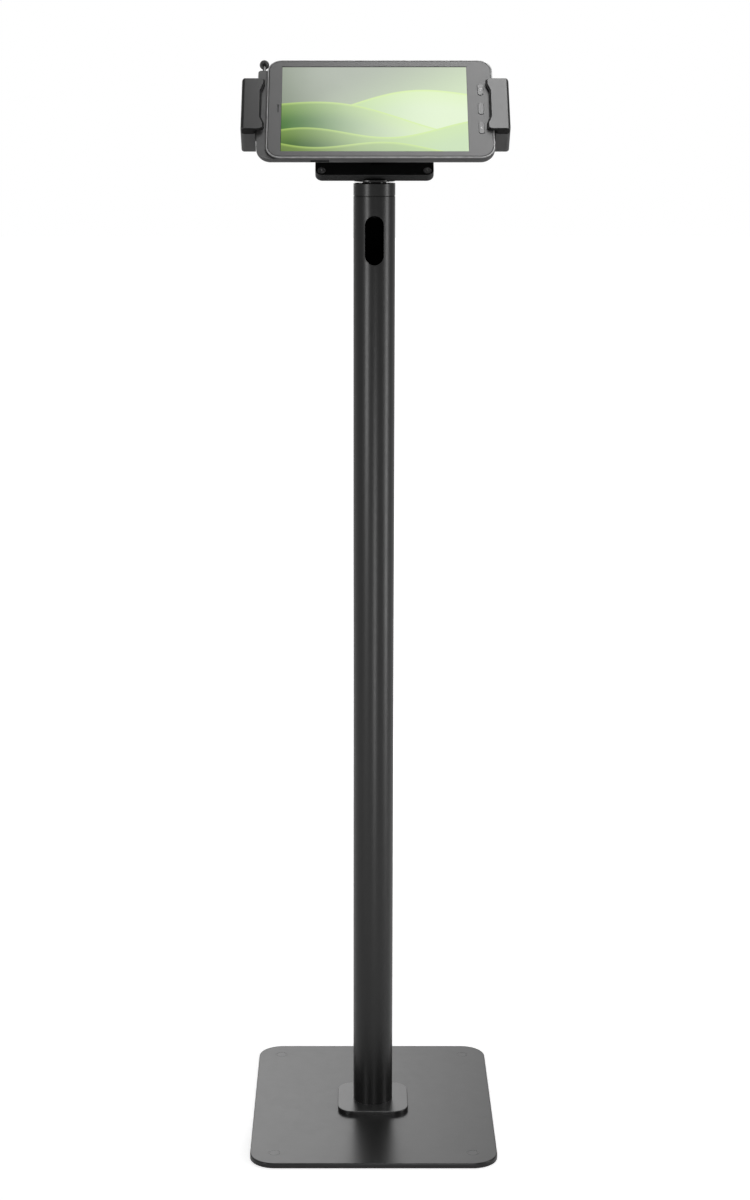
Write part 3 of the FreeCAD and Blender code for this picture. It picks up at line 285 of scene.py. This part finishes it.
def rubber(name, colour):
    """Matt rubber with a fine pitted skin and a dusty bloom."""
    m = Shader(name)
    spot = m.place(in_head=True)
    pits = m.noise(spot, PIT_SIZE, 3.0, 0.7)
    bloom = m.noise(spot, BLOOM_SIZE, 3.0, 0.6)
    base = m.blend(m.spread(bloom, 0.45, 0.8, 0.0, 0.5), colour, scaled(colour, 2.2, 0.006))
    m.set(Base_Color=base, Specular_IOR_Level=0.3)
    m.set(Roughness=m.spread(pits, *NOISE_BAND, 0.72, 0.9))
    m.bumps((pits, PIT_DEPTH))
    return m.material


def circuit_board(name):
    """Green solder mask in two shades with paler, raised tracks."""
    m = Shader(name)
    spot = m.place(in_head=True)
    cells = m.add("ShaderNodeTexVoronoi", {"Vector": spot, "Scale": 1 / TRACK_PITCH}, distance="MANHATTAN",
                  feature="DISTANCE_TO_EDGE").outputs["Distance"]
    tracks = m.spread(cells, 0.0, TRACK_EDGE, 1.0, 0.0)
    patches = m.noise(spot, MASK_PATCH, 2.0)
    mask = m.blend(m.spread(patches, 0.4, 0.6, 0.0, 1.0), srgb(14, 66, 40), srgb(20, 84, 50))
    m.set(Base_Color=m.blend(tracks, mask, srgb(60, 128, 84)))
    m.set(Roughness=m.spread(tracks, 0.0, 1.0, 0.34, 0.45))
    m.bumps((tracks, TRACK_DEPTH))
    return m.material


def perforated(name):
    """Speaker mesh: a dark sheet, darkened as painted shade in the slit before it, with rows of holes
    painted darker as the shade inside them.
    """
    m = Shader(name)
    values = {"Vector": m.place(in_head=True), "Scale": 1 / MESH_PITCH, "Randomness": 0.15}
    cells = m.add("ShaderNodeTexVoronoi", values).outputs["Distance"]
    holes = m.spread(cells, *MESH_HOLE, 1.0, 0.0)
    m.set(Base_Color=m.blend(holes, grey(18), grey(2)), Metallic=0.0)
    m.set(Roughness=m.spread(holes, 0.0, 1.0, 0.42, 0.9))
    m.bumps((m.math("SUBTRACT", 1.0, holes), MESH_DEPTH))
    return m.material


# The screen's picture

# Ridges, far to near: level, tilt, swell, waves, shift, left and right colour.
RIDGES = (
    (0.16, 0.20, 0.20, 2.6, 0.6, srgb(120, 168, 96), srgb(208, 228, 186)),
    (-0.16, -0.26, 0.20, 2.3, 2.4, srgb(70, 122, 44), srgb(206, 226, 184)),
    (-0.52, 0.10, 0.16, 3.1, 4.1, srgb(58, 102, 36), srgb(176, 206, 152)),
    (-0.86, -0.10, 0.10, 3.7, 1.0, srgb(62, 92, 46), srgb(140, 176, 118)),
)
SKY = (srgb(136, 148, 128), srgb(190, 214, 164))
CREST = srgb(194, 228, 112)
CREST_BRIGHT = 0.65
CREST_DEPTH = 0.07
GLOW_BRIGHT = 0.30
GLOW_DEPTH = 0.5
RIDGE_FEATHER = 0.008
PIXEL_PITCH = 0.12 * MM
PIXEL_GAP = (0.3, 0.75)
PIXEL_GAP_DARK = 0.12
# Where the picture ends, in half screen widths and heights.
PICTURE_SIDE = (0.994, 0.996)
PICTURE_TOP = (0.990, 0.993)
SCREEN_LIGHT = 0.86
FINGERPRINT_SIZE = 16 * MM


def hill(m, across, level, tilt, swell, waves, shift):
    """The height of a soft ridge that crosses the screen: all in half screen heights and widths."""
    wave = m.math("SINE", m.math("ADD", m.math("MULTIPLY", across, waves), shift))
    line = m.math("ADD", m.math("MULTIPLY", across, tilt), level)
    return m.math("ADD", line, m.math("MULTIPLY", wave, swell))


def lit_screen(name):
    """A display behind clear glass: soft green ridges under a pale sky, and pixels seen only from close."""
    m = Shader(name)
    spot = m.place(in_head=True)
    axes = m.add("ShaderNodeSeparateXYZ", {0: spot}).outputs
    across = m.math("DIVIDE", axes[0], SCREEN_HALF[0])
    upward = m.math("DIVIDE", axes[1], SCREEN_HALF[1])
    fall = m.math("SUBTRACT", m.math("MULTIPLY", across, 0.8), m.math("MULTIPLY", upward, 0.7))
    picture = m.blend(m.spread(fall, -0.9, 1.0, 0.0, 1.0, "SMOOTHSTEP"), *SKY)
    for level, tilt, swell, waves, shift, left, right in RIDGES:
        top = hill(m, across, level, tilt, swell, waves, shift)
        below = m.math("SUBTRACT", top, upward)
        body = m.blend(m.spread(across, -0.9, 0.75, 0.0, 1.0, "SMOOTHSTEP"), left, right)
        glow = m.spread(below, 0.0, GLOW_DEPTH, GLOW_BRIGHT, 0.0, "SMOOTHSTEP")
        body = m.blend(glow, body, CREST)
        crest = m.spread(below, 0.0, CREST_DEPTH, 1.0, 0.0, "SMOOTHSTEP")
        body = m.blend(m.math("MULTIPLY", crest, CREST_BRIGHT), body, CREST)
        picture = m.blend(m.spread(below, -RIDGE_FEATHER, RIDGE_FEATHER, 0.0, 1.0), picture, body)
    values = {"Vector": spot, "Scale": 1 / PIXEL_PITCH, "Randomness": 0.0}
    dots = m.add("ShaderNodeTexVoronoi", values).outputs["Distance"]
    picture = m.blend(m.spread(dots, *PIXEL_GAP, 0.0, PIXEL_GAP_DARK), picture, grey(0))
    inside = m.math("MULTIPLY", m.spread(m.math("ABSOLUTE", across), *PICTURE_SIDE, 1.0, 0.0),
                    m.spread(m.math("ABSOLUTE", upward), *PICTURE_TOP, 1.0, 0.0))
    front = m.spread(axes[2], GLASS_FRONT - 0.3 * MM, GLASS_FRONT - 0.1 * MM, 0.0, 1.0)
    lit = m.math("MULTIPLY", inside, front)
    m.set(Base_Color=m.blend(lit, grey(10), grey(14)), Emission_Color=m.blend(lit, grey(0), picture))
    m.set(Emission_Strength=SCREEN_LIGHT, Specular_IOR_Level=0.35)
    m.set(Roughness=m.spread(m.noise(spot, FINGERPRINT_SIZE, 4.0, 0.62), 0.45, 0.75, 0.09, 0.15))
    return m.material


# Materials by the record's slots

def finish(make, *values, **settings):
    """What makes a material, once it is given its name."""
    return lambda name: make(name, *values, **settings)


BLACK_OXIDE = finish(coat, grey(9), 0.6, grain=0.25 * MM, depth=0.006 * MM, mottle=0.1, wear=0.2,
                     specular=0.12)
BODY_COAT = finish(coat, grey(67), 0.36, in_head=True, grain=0.6 * MM, mottle=0.06, worn=grey(120),
                   edge=0.6 * MM, wear=0.5, uneven=0.6)
SLOT_MATERIALS = {
    # Painted shade: the base's upright walls are darkened.
    "base_coat": finish(coat, grey(28), 0.30, grain=0.7 * MM, depth=0.006 * MM, mottle=0.05,
                        worn=grey(60), wear=0.25, edge=0.9 * MM, uneven=0.3,
                        shaded=lambda m: upright(m, 0.9)),
    # Painted shade: the inside of the tube is painted near black.
    "post_coat": finish(coat, grey(19), 0.32, grain=0.7 * MM, depth=0.005 * MM, mottle=0.05,
                        worn=grey(84), wear=0.25, edge=0.4 * MM, uneven=0.5,
                        shaded=lambda m: near_axis(m, POST_AXIS, (0, 0, 1), TUBE_INSIDE, 0.2 * MM)),
    "head_coat": finish(coat, grey(26), 0.26, in_head=True, mottle=0.06),
    "plate_coat": finish(coat, grey(17), 0.42, in_head=True, mottle=0.06, worn=grey(40), wear=0.2,
                         specular=0.3),
    "jaw_coat": finish(coat, grey(41), 0.30, in_head=True, grain=0.6 * MM, depth=0.008 * MM, mottle=0.05,
                       worn=grey(120), edge=0.6 * MM, wear=0.6, specular=0.42, uneven=0.6),
    "arm_steel": finish(metal, grey(165), 0.3, in_head=True),
    "screw_steel": finish(metal, grey(165), 0.22, in_head=True, along="z"),
    "bare_aluminium": finish(metal, grey(190), 0.32, in_head=True, along="z"),
    "black_rubber": finish(rubber, grey(12)),
    "nylon": finish(coat, grey(5), 0.8, grain=0.3 * MM, mottle=0.05, wear=0.1, specular=0.1),
    "plug_plastic": finish(coat, grey(34), 0.30, grain=0.4 * MM, mottle=0.05, wear=0.6, uneven=0.3,
                           specular=0.52),
    "housing_plastic": finish(coat, grey(30), 0.55, in_head=True, grain=0.45 * MM, depth=0.03 * MM,
                              mottle=0.06),
    # Painted highlight along the case's raised rim; its edges are lighter as wear and painted highlight.
    "case_plastic": finish(coat, grey(64), 0.50, in_head=True, grain=0.4 * MM, depth=0.02 * MM,
                           mottle=0.06, worn=grey(172), wear=0.5, edge=0.4 * MM,
                           ridge=lambda m: above(m, RIM_FOOT, 0.15 * MM)),
    "bezel_plastic": finish(coat, grey(92), 0.36, in_head=True, grain=0.35 * MM, depth=0.004 * MM,
                            mottle=0.03, worn=grey(150), edge=0.6 * MM, specular=0.27, uneven=0.4),
    "key_plastic": finish(coat, grey(90), 0.3, in_head=True, grain=0.3 * MM, mottle=0.03,
                          worn=grey(190), wear=0.6, specular=0.38),
    "screen_glass": lit_screen,
    "screen_panel": finish(coat, grey(24), 0.3, in_head=True, mottle=0.04),
    "frame_aluminium": finish(metal, grey(150), 0.4, in_head=True),
    "battery_wrap": finish(coat, grey(34), 0.5, in_head=True, grain=1.5 * MM, mottle=0.1),
    "board_green": circuit_board,
}
# Nodes that look unlike the others of their slot.
NODE_MATERIALS = {
    "swivel_bolt": BLACK_OXIDE,
    "swivel_lock_nut": BLACK_OXIDE,
    "mount_corner_screws": finish(metal, grey(205), 0.42, in_head=True, along="z"),
    # Painted shade darkens the flange's upright walls, and its edges are lighter as wear and painted
    # highlight.
    "foot_flange": finish(coat, grey(40), 0.32, grain=0.7 * MM, depth=0.003 * MM, mottle=0.05,
                          worn=grey(165), wear=0.9, edge=0.7 * MM, specular=0.8, uneven=0.2,
                          shaded=lambda m: upright(m, 0.8)),
    "left_jaw_body": BODY_COAT,
    "right_jaw_body": BODY_COAT,
    "speaker_mesh": perforated,
    # Painted shade: the hole of the stylus's eye is painted near black.
    "stylus": finish(coat, grey(92), 0.34, grain=0.3 * MM, mottle=0.05, worn=grey(150), wear=0.2, grime=0.6,
                     shaded=lambda m: near_axis(m, STYLUS_EYE, (0, 1, 0), EYE_INSIDE, 0.3 * MM)),
}


def dress_nodes():
    slots = {}
    for name, node in NODES.items():
        if name in NODE_MATERIALS:
            material = NODE_MATERIALS[name](name)
        else:
            slot = node.data.materials[0].name.split(".")[0]
            if slot not in slots:
                slots[slot] = SLOT_MATERIALS[slot](slot)
            material = slots[slot]
        node.data.materials.clear()
        node.data.materials.append(material)


dress_nodes()


# Small pieces of the scene's own

def add_object(name, data):
    """An object, linked to the scene."""
    made = bpy.data.objects.new(name, data)
    bpy.context.scene.collection.objects.link(made)
    return made


def new_piece(name, corners, faces, material, body, place=Matrix()):
    """A mesh piece that rides on a body and takes the given finish."""
    mesh = bpy.data.meshes.new(name)
    mesh.from_pydata([place @ Vector(corner) for corner in corners], [], faces)
    mesh.validate()
    mesh.materials.append(material)
    piece = add_object(name, mesh)
    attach(piece, body)


def side_faces(steps, pairs):
    """The long faces between cross-sections of four corners each, one for each pair of corners."""
    return [(first + a, first + b, first + b + 4, first + a + 4)
            for first in range(0, 4 * steps, 4) for a, b in pairs]


# Raised marks on two of the face keys: lines in millimetres about the key's centre, their width, and the
# heights of their foot and top over the screen's plane.
KEY_MARKS = {
    "back_key": [[(0.7, 1.3), (-0.8, 0.0), (0.7, -1.3)]],
    "menu_key": [[(-1.1, y), (1.1, y)] for y in (-1.2, 0.0, 1.2)],
}
MARK_WIDTH = 0.42
MARK_LOW = 0.30
MARK_HIGH = 0.47


def stroke(points):
    """A raised line through flat points, mitred at its bends: corners and faces."""
    lines = [Vector(point) for point in points]
    corners = []
    for index, spot in enumerate(lines):
        before = (spot - lines[index - 1]).normalized() if index else None
        after = (lines[index + 1] - spot).normalized() if index + 1 < len(lines) else None
        along = ((before or after) + (after or before)).normalized()
        lean = along.dot(before or after)
        aside = Vector((-along.y, along.x)) * (MARK_WIDTH / 2 / lean)
        for edge in (spot - aside, spot + aside):
            corners += [(edge.x, edge.y, MARK_LOW), (edge.x, edge.y, MARK_HIGH)]
    last = 4 * (len(lines) - 1)
    faces = side_faces(len(lines) - 1, ((1, 3), (3, 2), (2, 0), (0, 1)))
    return corners, faces + [(0, 2, 3, 1), (last, last + 1, last + 3, last + 2)]


def join_forms(forms):
    """Several forms as one: corners and faces."""
    corners = []
    faces = []
    for more, sides in forms:
        faces += [tuple(len(corners) + corner for corner in side) for side in sides]
        corners += more
    return corners, faces


def mark_keys():
    material = coat("mark_paint", grey(176), 0.3, in_head=True, grain=0.2 * MM, mottle=0.03, grime=0.3)
    for key, lines in KEY_MARKS.items():
        low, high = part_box(key)
        middle = HEAD.inverted() @ ((low + high) / 2)
        place = HEAD @ Matrix.Translation((middle.x, middle.y, 0)) @ Matrix.Scale(MM, 4)
        corners, faces = join_forms([stroke(line) for line in lines])
        new_piece(key + "_mark", corners, faces, material, key, place)


# Matt black sheets inside the post, behind its two cable slots, that paint the shade seen through them: each
# one's bottom and top, and where its middle lies round the post, in degrees from X.
SLOT_SHADE_SHEETS = {"cable_slot_lining": (852 * MM, 915 * MM, 90), "exit_slot_lining": (11 * MM, 74 * MM, -90)}
SHADE_SHEET_RADII = (17.9 * MM, 17.4 * MM)
SHADE_SHEET_HALF_TURN = 118
SHADE_SHEET_STEPS = 36


def shade_slots():
    material = coat("slot_lining", grey(3), 0.9, mottle=0.2, wear=0.0, specular=0.03, grime=1.0)
    last = 4 * SHADE_SHEET_STEPS
    faces = [(0, 1, 3, 2), (last, last + 2, last + 3, last + 1)]
    faces += side_faces(SHADE_SHEET_STEPS, ((1, 0), (0, 2), (2, 3), (3, 1)))
    for name, (bottom, top, middle) in SLOT_SHADE_SHEETS.items():
        corners = []
        for step in range(SHADE_SHEET_STEPS + 1):
            turn = math.radians(middle + SHADE_SHEET_HALF_TURN * (2 * step / SHADE_SHEET_STEPS - 1))
            for radius in SHADE_SHEET_RADII:
                across = POST_AXIS[0] + radius * math.cos(turn)
                back = POST_AXIS[1] + radius * math.sin(turn)
                corners += [(across, back, bottom), (across, back, top)]
        new_piece(name, corners, faces, material, "stand")


mark_keys()
shade_slots()


# Floor, world, lamps and camera

WHITE = (1, 1, 1, 1)
FLOOR_HALF = 14.0
# The floor's glow for the camera: two distances from the base's centre, and its strength at each. Glossy
# faces see the share in FLOOR_GLOSS of it, and matt ones get none.
FLOOR_REACH = (0.3, 1.6)
FLOOR_GLOW = (0.62, 1.0)
FLOOR_GLOSS = 0.35
# The room's light on matt faces, and what glossy ones see of it. They see it white where a direction points
# back: the white starts at the first share and is full at the second.
ROOM_LIGHT = 0.28
ROOM_GLOSS = 0.22
ROOM_BACK = (0.80, 0.95)

# Lamps: centre, how far each is turned from facing down (degrees about X, Y and Z), width, height, radiance,
# fade and what sees it.
LAMPS = (
    ("top_box", (0.25, 0.00, 1.80), (0, 0, 30), 0.70, 0.82, 7.3, (0.16, 0.28), "glossy"),
    ("key_box", (0.24, 0.20, 1.60), (-18, 0, -48), 0.18, 0.18, 52.0, (0.2, 0.2), "matt"),
    ("left_strip", (-1.39, -1.56, 0.64), (90, 0, -42), 0.66, 0.84, 8.2, (0.25, 0.2), "all"),
    ("front_strip", (0.12, -1.00, 0.34), (90, 0, 6), 0.22, 0.62, 6.4, (0.25, 0.15), "all"),
    ("right_strip", (1.45, -0.42, 0.60), (90, 0, 74), 0.50, 1.2, 5.6, (0.25, 0.06), "all"),
    ("back_box", (-0.66, 2.20, 1.29), (-60, 0, 15), 2.75, 1.1, 2.3, (0.35, 0.2), "all"),
)

CAMERA_PLACE = (-0.01857, -2.266, 1.036)
CAMERA_PITCH = math.radians(77.59)
CAMERA_SENSOR = 36
CAMERA_LENS = 70.47
CAMERA_SHIFT = 0.0168


def make_floor():
    corners = [(x * FLOOR_HALF, y * FLOOR_HALF, 0) for x, y in ((-1, -1), (1, -1), (1, 1), (-1, 1))]
    mesh = bpy.data.meshes.new("floor")
    mesh.from_pydata(corners, [], [(0, 1, 2, 3)])
    floor = add_object("floor", mesh)
    m = Shader("floor")
    m.set(Base_Color=grey(225), Roughness=0.8, Specular_IOR_Level=0.1)
    rays = m.add("ShaderNodeLightPath").outputs
    shiny = m.math("MAXIMUM", rays["Is Glossy Ray"], rays["Is Transmission Ray"])
    seen = m.math("MAXIMUM", rays["Is Camera Ray"], m.math("MULTIPLY", shiny, FLOOR_GLOSS))
    distance = m.add("ShaderNodeVectorMath", {0: m.place()}, operation="LENGTH").outputs["Value"]
    glow = m.spread(distance, *FLOOR_REACH, *FLOOR_GLOW, "SMOOTHSTEP")
    m.set(Emission_Color=WHITE, Emission_Strength=m.math("MULTIPLY", seen, glow))
    mesh.materials.append(m.material)


def make_world():
    world = bpy.data.worlds.new("studio")
    bpy.context.scene.world = world
    world.use_nodes = True
    n = Nodes(world.node_tree)
    n.tree.nodes.clear()
    rays = n.add("ShaderNodeLightPath").outputs
    towards = n.add("ShaderNodeSeparateXYZ", {0: n.add("ShaderNodeTexCoord").outputs["Generated"]}).outputs
    behind = n.spread(towards["Y"], *ROOM_BACK, ROOM_GLOSS, 1.0)
    shiny = n.math("MAXIMUM", rays["Is Glossy Ray"], rays["Is Transmission Ray"])
    level = n.pick(shiny, ROOM_LIGHT, behind)
    level = n.pick(rays["Is Camera Ray"], level, 1.0)
    shade = n.add("ShaderNodeBackground", {"Color": WHITE, "Strength": level})
    out = n.add("ShaderNodeOutputWorld")
    n.link(shade.outputs[0], out.inputs["Surface"])


def softbox(name, centre, facing, width, height, radiance, fade, seen_by):
    """A rectangular lamp that the camera doesn't see. Fade is the share of its width and height, at each
    end, over which it dims to nothing, so that a glossy face shows no hard edge of it. It can be seen by
    matt faces alone, or by glossy ones alone."""
    data = bpy.data.lights.new(name, "AREA")
    data.shape = "RECTANGLE"
    data.size = width
    data.size_y = height
    data.energy = radiance * math.pi * width * height
    data.use_nodes = True
    n = Nodes(data.node_tree)
    spot = n.add("ShaderNodeNewGeometry").outputs["Parametric"]
    axes = n.add("ShaderNodeSeparateXYZ", {0: spot}).outputs
    dims = []
    for axis, share in enumerate(fade):
        off = n.math("ABSOLUTE", n.math("SUBTRACT", axes[axis], 0.5))
        dims.append(n.spread(off, 0.5 - share, 0.5, 1.0, 0.0, "SMOOTHSTEP"))
    n.link(n.math("MULTIPLY", *dims), n.tree.nodes["Emission"].inputs["Strength"])
    lamp = add_object(name, data)
    lamp.location = centre
    lamp.rotation_euler = [math.radians(turn) for turn in facing]
    lamp.visible_camera = False
    lamp.visible_diffuse = seen_by != "glossy"
    lamp.visible_glossy = seen_by != "matt"


def make_camera():
    data = bpy.data.cameras.new("camera")
    data.sensor_width = CAMERA_SENSOR
    data.lens = CAMERA_LENS
    data.shift_x = CAMERA_SHIFT
    camera = add_object("camera", data)
    camera.location = CAMERA_PLACE
    camera.rotation_euler = (CAMERA_PITCH, 0, 0)
    bpy.context.scene.camera = camera


make_floor()
make_world()
for lamp in LAMPS:
    softbox(*lamp)
make_camera()
bpy.context.scene.view_settings.view_transform = "Standard"
